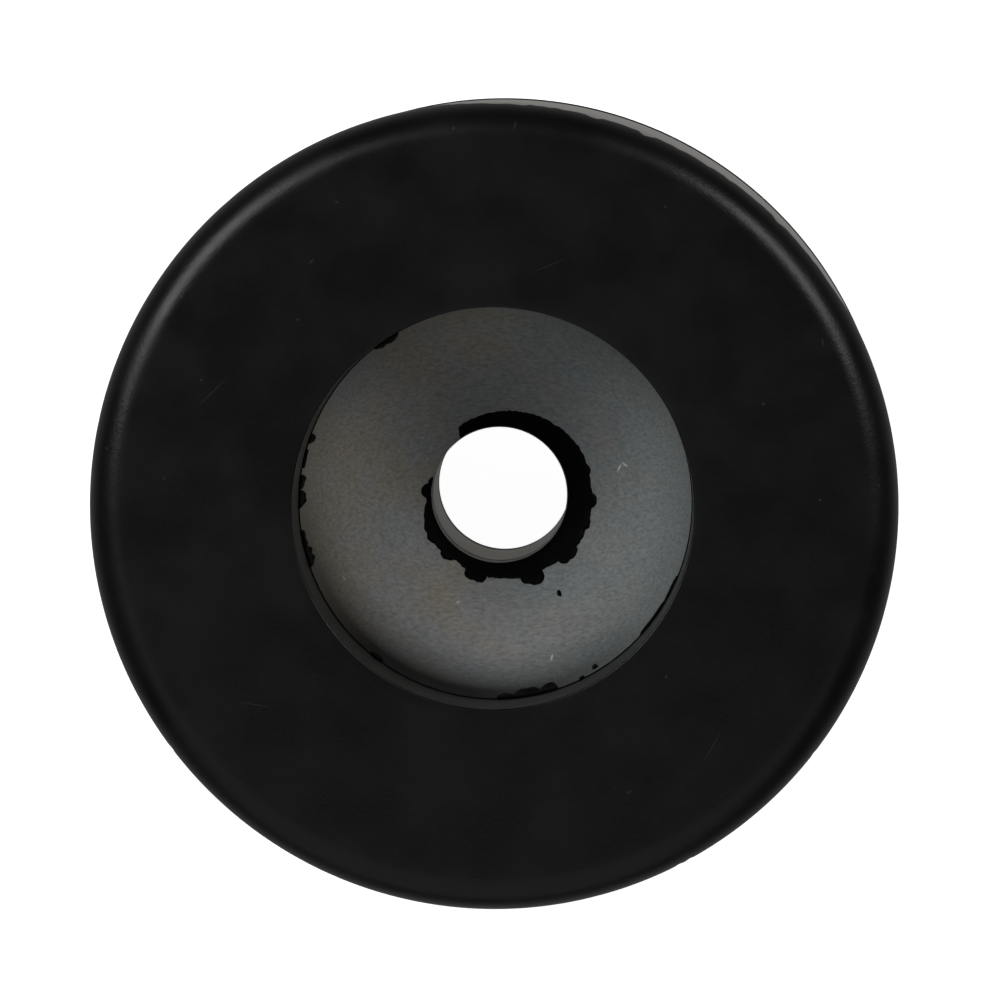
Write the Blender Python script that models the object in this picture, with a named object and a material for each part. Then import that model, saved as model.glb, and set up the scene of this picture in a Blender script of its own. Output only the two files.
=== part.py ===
"""Security tag detacher: a round magnet block with a dished steel cup and a through bore.

The model stands on z = 0, its axis is +Z and every length is in metres.
Heights build up as a stack from the rubber pad: base cap, back iron, magnets, cup, top lip.
"""
import math

import bmesh
import bpy
from mathutils import Vector

MM = 0.001

# ---- driving dimensions --------------------------------------------------------------
FIT = 0.3 * MM                      # clearance between pieces that touch or slide together

BODY_RADIUS = 35.0 * MM             # outside of the shell and of the base cap
EDGE_FILLET = 3.0 * MM              # rounded upper outer edge of the shell
SIDE_WALL = 2.0 * MM
TOP_WALL = 2.4 * MM

LIP_FILLET = 0.3 * MM               # rounded edge of the hole in the top of the shell
LIP_HEIGHT = 8.0 * MM               # collar that hangs from the top wall down to the cup
LIP_WALL = 1.4 * MM
RIM_LEDGE = 0.3 * MM                # how far the cup's rim shows inside the collar

BOWL_RIM_RADIUS = 17.1 * MM         # inside of the cup at its rim
BOWL_CORNER_RADIUS = 7.6 * MM       # curve between the cup's wall and its conical floor
BOWL_SLOPE = math.radians(36.0)     # floor's angle to the horizontal
CUP_SHEET = 1.2 * MM
BORE_RADIUS = 6.0 * MM              # hole for the cone of a pencil-shaped tag
SLEEVE_WALL = 0.9 * MM

INNER_MAGNET_RADIUS = 16.5 * MM
INNER_MAGNET_HEIGHT = 6.0 * MM
LOWER_MAGNET_HEIGHT = 7.5 * MM
MAGNET_SEGMENTS = 8
SPACER_WALL = 2.0 * MM              # at least
POTTING_ANGLE = math.radians(36.0)  # how far below the rim, round the cup's corner, the filling ends
CUSHION_THICKNESS = 3.5 * MM
BACK_IRON_THICKNESS = 4.0 * MM

BASE_FLANGE = 2.8 * MM              # visible height of the base cap
BASE_SPIGOT = 1.8 * MM              # step of the base cap inside the shell
SLEEVE_SEAT = 1.6 * MM              # base material left under the sleeve
PAD_STAND = 0.8 * MM                # how far the pad stands out of its groove
PAD_DEPTH = 0.7 * MM                # how far the pad is sunk in its groove
PAD_WIDTH = 6.7 * MM
PAD_EDGE = 1.8 * MM                 # base rim outside the pad

SCREW_COUNT = 4
SCREW_RADIUS = 2.0 * MM             # M4 countersunk
SCREW_HEAD_RADIUS = 3.75 * MM
SCREW_HEAD_SINK = 0.2 * MM          # head face above the underside of the base cap
SCREW_BITE = 3.3 * MM               # depth of thread in the back iron
SCREW_SOCKET = 1.25 * MM            # half of the hexagon's width across flats
SCREW_SOCKET_DEPTH = 1.3 * MM
SCREW_MARGIN = 2.4 * MM             # base material between a head and the pad's groove
SCREW_TURN = math.radians(47.8)     # first screw's place round the axis, clear of the facets' edges

ROUND_STEPS = 64                    # sides of a visible round piece
HIDDEN_STEPS = 48                   # sides of a round piece inside the shell
EDGE_STEPS = 6
SMALL_STEPS = 24
SHARP_ANGLE = math.radians(32.0)
CUT_OVERRUN = 1.0 * MM              # how far a cutter runs past the faces it cuts

# ---- derived radii ---------------------------------------------------------------------
CAVITY_RADIUS = BODY_RADIUS - SIDE_WALL
MAGNET_OUTER_RADIUS = CAVITY_RADIUS - 2 * FIT
OPENING_RADIUS = BOWL_RIM_RADIUS + RIM_LEDGE
COLLAR_RADIUS = OPENING_RADIUS + LIP_WALL
CUP_OUTER_RADIUS = BOWL_RIM_RADIUS + CUP_SHEET
CORE_STACK_RADIUS = INNER_MAGNET_RADIUS + FIT + SPACER_WALL
MAGNET_INNER_RADIUS = max(COLLAR_RADIUS, CUP_OUTER_RADIUS, CORE_STACK_RADIUS) + FIT
SLEEVE_RADIUS = BORE_RADIUS + SLEEVE_WALL
CORE_RADIUS = SLEEVE_RADIUS + FIT   # hole that the sleeve passes through
PAD_OUTER_RADIUS = BODY_RADIUS - PAD_EDGE
PAD_INNER_RADIUS = PAD_OUTER_RADIUS - PAD_WIDTH
SCREW_PITCH_RADIUS = PAD_INNER_RADIUS - FIT - SCREW_MARGIN - SCREW_HEAD_RADIUS

# ---- derived levels, from the floor up ---------------------------------------------------
BASE_UNDERSIDE = PAD_STAND
FLANGE_TOP = BASE_UNDERSIDE + BASE_FLANGE
SHELL_UNDERSIDE = FLANGE_TOP + FIT
SPIGOT_TOP = FLANGE_TOP + BASE_SPIGOT
IRON_UNDERSIDE = SPIGOT_TOP + FIT
IRON_TOP = IRON_UNDERSIDE + BACK_IRON_THICKNESS
MAGNET_UNDERSIDE = IRON_TOP + FIT
INNER_MAGNET_TOP = MAGNET_UNDERSIDE + INNER_MAGNET_HEIGHT
LOWER_MAGNET_TOP = MAGNET_UNDERSIDE + LOWER_MAGNET_HEIGHT
CUP_UNDERSIDE = INNER_MAGNET_TOP + FIT
BORE_EDGE = CUP_UNDERSIDE + CUP_SHEET / math.cos(BOWL_SLOPE)
CORNER_CENTRE_RADIUS = BOWL_RIM_RADIUS - BOWL_CORNER_RADIUS
CORNER_FOOT_RADIUS = CORNER_CENTRE_RADIUS + BOWL_CORNER_RADIUS * math.sin(BOWL_SLOPE)
CORNER_FOOT = BORE_EDGE + (CORNER_FOOT_RADIUS - BORE_RADIUS) * math.tan(BOWL_SLOPE)
CUP_RIM = CORNER_FOOT + BOWL_CORNER_RADIUS * math.cos(BOWL_SLOPE)
COLLAR_UNDERSIDE = CUP_RIM + FIT
BODY_TOP = COLLAR_UNDERSIDE + LIP_HEIGHT
CAVITY_TOP = BODY_TOP - TOP_WALL
CUSHION_TOP = CAVITY_TOP - FIT
CUSHION_UNDERSIDE = CUSHION_TOP - CUSHION_THICKNESS
SEGMENT_UNDERSIDE = LOWER_MAGNET_TOP + FIT
SEGMENT_TOP = CUSHION_UNDERSIDE - FIT


# ---- helpers -------------------------------------------------------------------------------
def clear_scene():
    """Remove whatever objects the file holds."""
    for old in list(bpy.data.objects):
        bpy.data.objects.remove(old, do_unlink=True)


def material(name, colour, roughness, metallic):
    """Make a Principled material from a linear colour."""
    made = bpy.data.materials.new(name)
    made.use_nodes = True
    shader = made.node_tree.nodes["Principled BSDF"]
    shader.inputs["Base Color"].default_value = (*colour, 1.0)
    shader.inputs["Roughness"].default_value = roughness
    shader.inputs["Metallic"].default_value = metallic
    return made


def add_object(name, mesh_builder, finish):
    """Turn a bmesh into a named, smooth-shaded object with one material."""
    mesh = bpy.data.meshes.new(name)
    bmesh.ops.recalc_face_normals(mesh_builder, faces=mesh_builder.faces)
    mesh_builder.to_mesh(mesh)
    mesh_builder.free()
    mesh.shade_smooth()
    mesh.set_sharp_from_angle(angle=SHARP_ANGLE)
    mesh.materials.append(finish)
    made = bpy.data.objects.new(name, mesh)
    bpy.context.collection.objects.link(made)
    return made


def arc(centre, radius, start, end, steps):
    """Points on a circle in the (r, z) plane, from one angle to another, ends included."""
    points = []
    for step in range(steps + 1):
        angle = start + (end - start) * step / steps
        points.append((centre[0] + radius * math.cos(angle), centre[1] + radius * math.sin(angle)))
    return points


def turned(profile, steps=ROUND_STEPS, at=(0.0, 0.0), closed=True):
    """Spin an (r, z) outline about the vertical axis through a point.

    A closed outline makes a ring; an open one that starts and ends on the axis makes a solid.
    """
    builder = bmesh.new()
    corners = [builder.verts.new((r, 0.0, z)) for r, z in profile]
    first = 0 if closed else 1
    edges = [builder.edges.new((corners[i - 1], corners[i])) for i in range(first, len(corners))]
    bmesh.ops.spin(builder, geom=corners + edges, cent=(0.0, 0.0, 0.0), axis=(0.0, 0.0, 1.0),
                   angle=2 * math.pi, steps=steps, use_merge=True)
    bmesh.ops.remove_doubles(builder, verts=builder.verts, dist=0.001 * MM)
    bmesh.ops.translate(builder, verts=builder.verts, vec=(at[0], at[1], 0.0))
    return builder


def ring(inner, outer, low, high, steps=ROUND_STEPS):
    """A plain flat ring between two radii and two levels."""
    return turned([(inner, low), (outer, low), (outer, high), (inner, high)], steps)


def pin(profile, place, steps=SMALL_STEPS):
    """A solid turned piece whose outline runs from the axis back to the axis."""
    return turned(profile, steps, place, closed=False)


def cut(target, cutter):
    """Subtract a cutter from an object and mark the cutter as a guide only."""
    cutter.hide_render = True
    cutter.display_type = "WIRE"
    step = target.modifiers.new(cutter.name, "BOOLEAN")
    step.operation = "DIFFERENCE"
    step.solver = "EXACT"
    step.object = cutter


def screw_places():
    """Centres of the base screws, evenly spaced on their pitch circle."""
    places = []
    for index in range(SCREW_COUNT):
        angle = 2 * math.pi * index / SCREW_COUNT + SCREW_TURN
        places.append((SCREW_PITCH_RADIUS * math.cos(angle), SCREW_PITCH_RADIUS * math.sin(angle)))
    return places


# ---- the pieces ----------------------------------------------------------------------------
def body_shell(finish):
    """Turned cup, open below: side wall, rounded edge, top wall and collar down to the cup."""
    edge_centre = (BODY_RADIUS - EDGE_FILLET, BODY_TOP - EDGE_FILLET)
    lip_centre = (OPENING_RADIUS + LIP_FILLET, BODY_TOP - LIP_FILLET)
    profile = [(CAVITY_RADIUS, SHELL_UNDERSIDE), (BODY_RADIUS, SHELL_UNDERSIDE)]
    profile += arc(edge_centre, EDGE_FILLET, 0.0, math.pi / 2, EDGE_STEPS)
    profile += arc(lip_centre, LIP_FILLET, math.pi / 2, math.pi, EDGE_STEPS // 2)
    profile += [(OPENING_RADIUS, COLLAR_UNDERSIDE), (COLLAR_RADIUS, COLLAR_UNDERSIDE)]
    profile += [(COLLAR_RADIUS, CAVITY_TOP), (CAVITY_RADIUS, CAVITY_TOP)]
    add_object("body_shell", turned(profile), finish)


def bowl_cup(finish):
    """Drawn sheet cup: steep wall, curved corner, conical floor and the bore's upper edge."""
    corner_centre = (CORNER_CENTRE_RADIUS, CUP_RIM)
    floor_angle = -(math.pi / 2 - BOWL_SLOPE)
    inside = arc(corner_centre, BOWL_CORNER_RADIUS, 0.0, floor_angle, EDGE_STEPS + 2)
    outside = arc(corner_centre, BOWL_CORNER_RADIUS + CUP_SHEET, floor_angle, 0.0, EDGE_STEPS + 2)
    profile = inside + [(BORE_RADIUS, BORE_EDGE), (BORE_RADIUS, CUP_UNDERSIDE)] + outside
    add_object("bowl_cup", turned(profile), finish)


def cup_potting(finish):
    """Cast filling that carries the cup's floor, between it and the magnets."""
    corner_centre = (CORNER_CENTRE_RADIUS, CUP_RIM)
    curve_radius = BOWL_CORNER_RADIUS + CUP_SHEET + FIT
    floor_angle = -(math.pi / 2 - BOWL_SLOPE)
    curve = arc(corner_centre, curve_radius, -POTTING_ANGLE, floor_angle, EDGE_STEPS)
    outer = MAGNET_INNER_RADIUS - FIT
    underside_gap = FIT / math.cos(BOWL_SLOPE)
    inner_edge = CUP_UNDERSIDE + (CORE_RADIUS - BORE_RADIUS) * math.tan(BOWL_SLOPE) - underside_gap
    profile = [(CORE_RADIUS, CUP_UNDERSIDE), (outer, CUP_UNDERSIDE), (outer, curve[0][1])]
    profile += curve + [(CORE_RADIUS, inner_edge)]
    add_object("cup_potting", turned(profile, HIDDEN_STEPS), finish)


def bore_sleeve(finish):
    """Plain tube that lines the bore below the cup."""
    seat = BASE_UNDERSIDE + SLEEVE_SEAT + FIT
    add_object("bore_sleeve", ring(BORE_RADIUS, SLEEVE_RADIUS, seat, INNER_MAGNET_TOP), finish)


def inner_magnet(finish):
    """Ring magnet around the bore, under the cup's floor."""
    shape = ring(CORE_RADIUS, INNER_MAGNET_RADIUS, MAGNET_UNDERSIDE, INNER_MAGNET_TOP, HIDDEN_STEPS)
    add_object("inner_ring_magnet", shape, finish)


def magnet_spacer(finish):
    """Non-magnetic ring that centres the inner magnet in the outer one."""
    inside = INNER_MAGNET_RADIUS + FIT
    outside = MAGNET_INNER_RADIUS - FIT
    shape = ring(inside, outside, MAGNET_UNDERSIDE, INNER_MAGNET_TOP, HIDDEN_STEPS)
    add_object("magnet_spacer_ring", shape, finish)


def lower_magnet(finish):
    """Large ring magnet on the back iron."""
    sides = (MAGNET_INNER_RADIUS, MAGNET_OUTER_RADIUS)
    shape = ring(*sides, MAGNET_UNDERSIDE, LOWER_MAGNET_TOP, HIDDEN_STEPS)
    add_object("lower_ring_magnet", shape, finish)


def radial_magnets(finish):
    """Wedge magnets around the cup, one object for each, with a gap between neighbours."""
    pitch = 2 * math.pi / MAGNET_SEGMENTS
    arc_steps = HIDDEN_STEPS // MAGNET_SEGMENTS
    for index in range(MAGNET_SEGMENTS):
        builder = bmesh.new()
        outline = []
        for radius, direction in ((MAGNET_INNER_RADIUS, 1), (MAGNET_OUTER_RADIUS, -1)):
            half_gap = math.asin(FIT / 2 / radius)
            start = pitch * index + half_gap
            end = pitch * (index + 1) - half_gap
            side = arc((0.0, 0.0), radius, start, end, arc_steps)
            outline += side[::direction]
        corners = [builder.verts.new((x, y, SEGMENT_UNDERSIDE)) for x, y in outline]
        face = builder.faces.new(corners)
        grown = bmesh.ops.extrude_face_region(builder, geom=[face])
        lifted = [item for item in grown["geom"] if isinstance(item, bmesh.types.BMVert)]
        height = Vector((0.0, 0.0, SEGMENT_TOP - SEGMENT_UNDERSIDE))
        bmesh.ops.translate(builder, verts=lifted, vec=height)
        add_object(f"radial_magnet_{index + 1}", builder, finish)


def top_cushion(finish):
    """Foam ring that takes up the play between the wedge magnets and the top wall."""
    sides = (MAGNET_INNER_RADIUS, MAGNET_OUTER_RADIUS)
    shape = ring(*sides, CUSHION_UNDERSIDE, CUSHION_TOP, HIDDEN_STEPS)
    add_object("top_cushion_ring", shape, finish)


def back_iron(finish):
    """Steel plate that closes the magnets' field below and takes the screws' threads."""
    disc = ring(CORE_RADIUS, MAGNET_OUTER_RADIUS, IRON_UNDERSIDE, IRON_TOP, HIDDEN_STEPS)
    plate = add_object("back_iron_plate", disc, finish)
    hole = SCREW_RADIUS + FIT
    low = IRON_UNDERSIDE - CUT_OVERRUN
    high = IRON_TOP + CUT_OVERRUN
    profile = [(0.0, low), (hole, low), (hole, high), (0.0, high)]
    for index, place in enumerate(screw_places()):
        cutter = add_object(f"iron_hole_{index + 1}", pin(profile, place), finish)
        cut(plate, cutter)


def base_cap(finish):
    """Moulded base: flange, spigot, sleeve seat, pad groove and countersunk screw holes."""
    groove_top = BASE_UNDERSIDE + PAD_DEPTH + FIT
    seat = BASE_UNDERSIDE + SLEEVE_SEAT
    spigot = CAVITY_RADIUS - FIT
    profile = [(BORE_RADIUS, BASE_UNDERSIDE), (PAD_INNER_RADIUS - FIT, BASE_UNDERSIDE)]
    profile += [(PAD_INNER_RADIUS - FIT, groove_top), (PAD_OUTER_RADIUS + FIT, groove_top)]
    profile += [(PAD_OUTER_RADIUS + FIT, BASE_UNDERSIDE), (BODY_RADIUS, BASE_UNDERSIDE)]
    profile += [(BODY_RADIUS, FLANGE_TOP), (spigot, FLANGE_TOP), (spigot, SPIGOT_TOP)]
    profile += [(CORE_RADIUS, SPIGOT_TOP), (CORE_RADIUS, seat), (BORE_RADIUS, seat)]
    cap = add_object("base_cap", turned(profile), finish)
    head = SCREW_HEAD_RADIUS + FIT
    shank = SCREW_RADIUS + FIT
    face = BASE_UNDERSIDE + SCREW_HEAD_SINK
    low = BASE_UNDERSIDE - CUT_OVERRUN
    high = SPIGOT_TOP + CUT_OVERRUN
    hole = [(0.0, low), (head, low), (head, face), (shank, face + head - shank), (shank, high), (0.0, high)]
    for index, place in enumerate(screw_places()):
        cutter = add_object(f"base_hole_{index + 1}", pin(hole, place), finish)
        cut(cap, cutter)


def cover_screws(finish):
    """Countersunk screws that hold the base cap to the back iron, with hexagon sockets."""
    face = BASE_UNDERSIDE + SCREW_HEAD_SINK
    tip = IRON_UNDERSIDE + SCREW_BITE
    neck = face + SCREW_HEAD_RADIUS - SCREW_RADIUS
    profile = [(0.0, face), (SCREW_HEAD_RADIUS, face), (SCREW_RADIUS, neck), (SCREW_RADIUS, tip), (0.0, tip)]
    corner_radius = SCREW_SOCKET / math.cos(math.pi / 6)
    floor = face + SCREW_SOCKET_DEPTH
    low = face - CUT_OVERRUN
    socket = [(0.0, low), (corner_radius, low), (corner_radius, floor), (0.0, floor)]
    for index, place in enumerate(screw_places()):
        screw = add_object(f"cover_screw_{index + 1}", pin(profile, place), finish)
        key = add_object(f"socket_{index + 1}", pin(socket, place, 6), finish)
        cut(screw, key)


def anti_slip_pad(finish):
    """Rubber ring in the groove of the base cap; the object stands on it."""
    add_object("anti_slip_pad", ring(PAD_INNER_RADIUS, PAD_OUTER_RADIUS, 0.0, PAD_STAND + PAD_DEPTH), finish)


def build():
    """Make every piece of the detacher."""
    clear_scene()
    black_coat = material("black_coat", (0.008, 0.008, 0.008), 0.5, 0.0)
    plated_steel = material("plated_steel", (0.42, 0.42, 0.40), 0.4, 1.0)
    bare_steel = material("bare_steel", (0.50, 0.48, 0.44), 0.35, 1.0)
    nickel = material("nickel_plate", (0.60, 0.58, 0.54), 0.25, 1.0)
    aluminium = material("turned_aluminium", (0.75, 0.75, 0.76), 0.35, 1.0)
    epoxy = material("black_epoxy", (0.010, 0.010, 0.011), 0.3, 0.0)
    foam = material("grey_foam", (0.10, 0.10, 0.11), 0.9, 0.0)
    nylon = material("black_nylon", (0.012, 0.012, 0.013), 0.55, 0.0)
    screw_steel = material("blackened_steel", (0.05, 0.05, 0.055), 0.4, 1.0)
    rubber = material("black_rubber", (0.015, 0.015, 0.015), 0.85, 0.0)

    body_shell(black_coat)
    bowl_cup(plated_steel)
    cup_potting(epoxy)
    bore_sleeve(bare_steel)
    inner_magnet(nickel)
    magnet_spacer(aluminium)
    lower_magnet(nickel)
    radial_magnets(nickel)
    top_cushion(foam)
    back_iron(bare_steel)
    base_cap(nylon)
    cover_screws(screw_steel)
    anti_slip_pad(rubber)


build()
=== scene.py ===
"""Security tag detacher: fine surfaces, finishes and studio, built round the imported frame."""

import logging
from dataclasses import dataclass
from enum import Enum
from math import cos, pi, radians, sin
from typing import Any, Callable, Mapping, Sequence

import bpy
import numpy as np
from mathutils import Matrix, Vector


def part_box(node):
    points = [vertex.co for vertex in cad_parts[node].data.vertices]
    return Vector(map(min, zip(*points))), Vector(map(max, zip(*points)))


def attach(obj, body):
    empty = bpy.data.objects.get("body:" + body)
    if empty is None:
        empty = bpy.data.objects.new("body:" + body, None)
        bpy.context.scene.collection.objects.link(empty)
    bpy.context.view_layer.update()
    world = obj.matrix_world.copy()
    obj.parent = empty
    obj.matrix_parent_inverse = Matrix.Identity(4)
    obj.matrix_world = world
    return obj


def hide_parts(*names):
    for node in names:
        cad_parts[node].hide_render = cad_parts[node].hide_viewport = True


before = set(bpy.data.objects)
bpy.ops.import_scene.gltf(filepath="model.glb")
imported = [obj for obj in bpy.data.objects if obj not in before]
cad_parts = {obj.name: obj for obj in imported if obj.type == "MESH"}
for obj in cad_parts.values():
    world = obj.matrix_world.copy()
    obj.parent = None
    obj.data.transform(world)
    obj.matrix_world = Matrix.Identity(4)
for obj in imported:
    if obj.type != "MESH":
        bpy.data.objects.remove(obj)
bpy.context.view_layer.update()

log = logging.getLogger("tag_detacher")
MM = 0.001
BODY = "root"
Colour = tuple[float, float, float, float]
Socket = bpy.types.NodeSocket
Tree = bpy.types.NodeTree
Item = bpy.types.Object
Material = bpy.types.Material
Array = np.ndarray
Spread = Callable[[Array], Array]
Look = tuple[Socket, Socket, Socket]
Mark = tuple[float, float, float, float, float]


# ---- node and mesh helpers --------
def linear(code: str) -> Colour:
    """Turn an sRGB hex colour into linear RGBA.

    Args:
        code: six hex digits after a "#".

    Returns:
        Linear red, green, blue and an alpha of one.
    """
    parts = np.array([int(code[i:i + 2], 16) for i in (1, 3, 5)]) / 255.0
    red, green, blue = np.where(parts <= 0.04045, parts / 12.92, ((parts + 0.055) / 1.055) ** 2.4)
    return (float(red), float(green), float(blue), 1.0)


def add(tree: Tree, kind: str, inputs: Mapping[Any, Any] | None = None,
        stops: Sequence[tuple[float, str]] = (), **properties: Any) -> Any:
    """Add a node with its settings and links.

    Args:
        tree: the node tree to add to.
        kind: the node's Blender type name, without its "ShaderNode".
        inputs: input name or index to a value, an output socket, or a node for its first output.
        stops: place and sRGB hex colour of each stop, for a colour ramp.
        properties: attributes of the node itself.

    Returns:
        The new node.
    """
    node = tree.nodes.new("ShaderNode" + kind)
    for name, value in properties.items():
        setattr(node, name, value)
    for key, value in (inputs or {}).items():
        source = value.outputs[0] if isinstance(value, bpy.types.Node) else value
        if isinstance(source, Socket):
            tree.links.new(source, node.inputs[key])
        else:
            node.inputs[key].default_value = source
    for index, (place, code) in enumerate(stops):
        elements = node.color_ramp.elements
        element = elements[index] if index < len(elements) else elements.new(place)
        element.position, element.color = place, linear(code)
    return node


def surface(name: str, grid: Array, wrap_rows: bool, wrap_columns: bool) -> Item:
    """Make a smooth mesh from a grid of points, with equal points welded and faces turned outwards.

    Point (i, j) joins (i + 1, j), (i + 1, j + 1) and (i, j + 1); a row that shrinks to one point is a
    pole of triangles. The sign of the volume, the sum of the corners' triple products, says which way
    the faces have to run.

    Args:
        name: the object's name.
        grid: rows by columns by three coordinates, in metres.
        wrap_rows: join the last row to the first.
        wrap_columns: join the last column to the first.

    Returns:
        The new object, linked to the scene and shaded smooth.
    """
    rows, columns = grid.shape[:2]
    i, j = np.meshgrid(np.arange(rows if wrap_rows else rows - 1),
                       np.arange(columns if wrap_columns else columns - 1), indexing="ij")
    i, j = i.ravel(), j.ravel()
    below, right = (i + 1) % rows, (j + 1) % columns
    quads = np.stack([i * columns + j, below * columns + j, below * columns + right, i * columns + right], 1)
    points, back = np.unique(np.round(grid.reshape(-1, 3), 8), axis=0, return_inverse=True)
    quads = back.ravel()[quads]
    shut = quads == np.roll(quads, -1, axis=1)
    whole = quads[~shut.any(1)]
    pinched = quads[shut.sum(1) == 1]
    corners = pinched[pinched != np.roll(pinched, -1, axis=1)].reshape(-1, 3)
    a, b, c, d = (points[whole[:, k]] for k in range(4))
    e, f, g = (points[corners[:, k]] for k in range(3))
    volume = (a * np.cross(b, c)).sum() + (a * np.cross(c, d)).sum() + (e * np.cross(f, g)).sum()
    if volume < 0:
        whole, corners = whole[:, ::-1], corners[:, ::-1]
    mesh = bpy.data.meshes.new(name)
    mesh.from_pydata(points.tolist(), [], whole.tolist() + corners.tolist())
    mesh.shade_smooth()
    mesh.set_sharp_from_angle(angle=radians(40.0))
    made = bpy.data.objects.new(name, mesh)
    bpy.context.scene.collection.objects.link(made)
    return made


def rounded(corners: Array, radii: Sequence[float], steps: int = 6) -> Array:
    """Round chosen corners of a closed outline with arcs.

    Each arc touches both sides, its radius over the tangent of half the corner's angle away from the
    corner, and its points turn evenly. A corner whose radius is zero stays one point.

    Args:
        corners: (r, z) of each corner, in order.
        radii: the arc's radius at each corner.
        steps: segments in each arc.

    Returns:
        The outline's points, as an array of (r, z).
    """
    here = np.asarray(corners, float)
    radius = np.asarray(radii, float)[:, None]
    to_last = np.roll(here, 1, axis=0) - here
    to_next = np.roll(here, -1, axis=0) - here
    to_last /= np.linalg.norm(to_last, axis=1, keepdims=True)
    to_next /= np.linalg.norm(to_next, axis=1, keepdims=True)
    between = np.arccos(np.clip((to_last * to_next).sum(1, keepdims=True), -1.0, 0.9999))
    middle = to_last + to_next
    middle /= np.maximum(np.linalg.norm(middle, axis=1, keepdims=True), 1e-9)
    centre = here + middle * radius / np.sin(between / 2)
    reach = radius / np.tan(between / 2)
    start, end = here + to_last * reach - centre, here + to_next * reach - centre
    sweep = np.maximum(pi - between, 1e-6)[:, None, :]
    t = np.linspace(0.0, 1.0, steps + 1)[None, :, None]
    arcs = (np.sin((1 - t) * sweep) * start[:, None] + np.sin(t * sweep) * end[:, None]) / np.sin(sweep)
    keep = np.ones((len(here), steps + 1), bool)
    keep[radius[:, 0] == 0.0, 1:] = False
    return (centre[:, None] + arcs)[keep]


def refined(outline: Array, longest: float) -> Array:
    """Split the long sides of a closed outline evenly, so that none is longer than a length.

    Args:
        outline: the outline's points.
        longest: the longest side allowed, in metres.

    Returns:
        The outline with the added points.
    """
    ahead = np.roll(outline, -1, axis=0)
    counts = np.maximum(1, np.ceil(np.linalg.norm(ahead - outline, axis=1) / longest)).astype(int)
    owner = np.repeat(np.arange(len(outline)), counts)
    first = np.repeat(np.cumsum(counts) - counts, counts)
    share = ((np.arange(len(owner)) - first) / counts[owner])[:, None]
    return outline[owner] * (1 - share) + ahead[owner] * share


def revolved(outline: Array, steps: int) -> Array:
    """Carry an (r, z) outline round the vertical axis: at angle a it is at (r cos a, r sin a, z).

    Args:
        outline: the outline's points, or one outline for each angle.
        steps: the number of angles.

    Returns:
        A grid of angles by outline points by three.
    """
    angle = circle(steps)[:, None]
    r, z = np.broadcast_arrays(outline[..., 0] + 0 * angle, outline[..., 1] + 0 * angle)
    return np.stack([r * np.cos(angle), r * np.sin(angle), z], axis=2)


def circle(steps: int) -> Array:
    """Return evenly spaced angles round a circle, in radians."""
    return np.arange(steps) * 2 * pi / steps


def turned_from(angle: Array, place: float) -> Array:
    """Return how many degrees each angle is from a place in degrees, from -180 to 180."""
    return (np.degrees(angle) - place + 180.0) % 360.0 - 180.0


def towards(azimuth: float, lean: float) -> Array:
    """Return the unit vector at an azimuth from +X and a lean from the vertical, both in degrees."""
    around, over = radians(azimuth), radians(lean)
    return np.array([sin(over) * cos(around), sin(over) * sin(around), cos(over)])


def wander(angle: Array, seed: int, waves: Sequence[int]) -> Array:
    """A smooth random value round a circle, mostly between -1 and 1.

    It is a sum of cosines of whole numbers of turns, each with a random start and a size that
    falls as one over the square root of its number of turns.

    Args:
        angle: angles in radians.
        seed: the random seed.
        waves: whole numbers of turns to add.

    Returns:
        The value at each angle.
    """
    chance = np.random.default_rng(seed)
    turns = np.asarray(waves, float)
    starts = chance.uniform(0, 2 * pi, len(turns))
    sizes = chance.uniform(0.5, 1.0, len(turns)) / np.sqrt(turns)
    total = (np.cos(angle[..., None] * turns + starts) * sizes).sum(-1)
    return total / np.sqrt((sizes ** 2).sum() / 2) / 2


def piece(made: Item, finish: Material, slot: str, *nodes: str) -> Item:
    """Dress a new piece, tie it to the body and hide the frame nodes that it stands for.

    Args:
        made: the new object.
        finish: its material.
        slot: not used.
        nodes: the frame nodes that it replaces.

    Returns:
        The same object.
    """
    made.data.materials.append(finish)
    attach(made, BODY)
    if nodes:
        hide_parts(*nodes)
    log.info("%s: %d faces", made.name, len(made.data.polygons))
    return made


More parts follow.
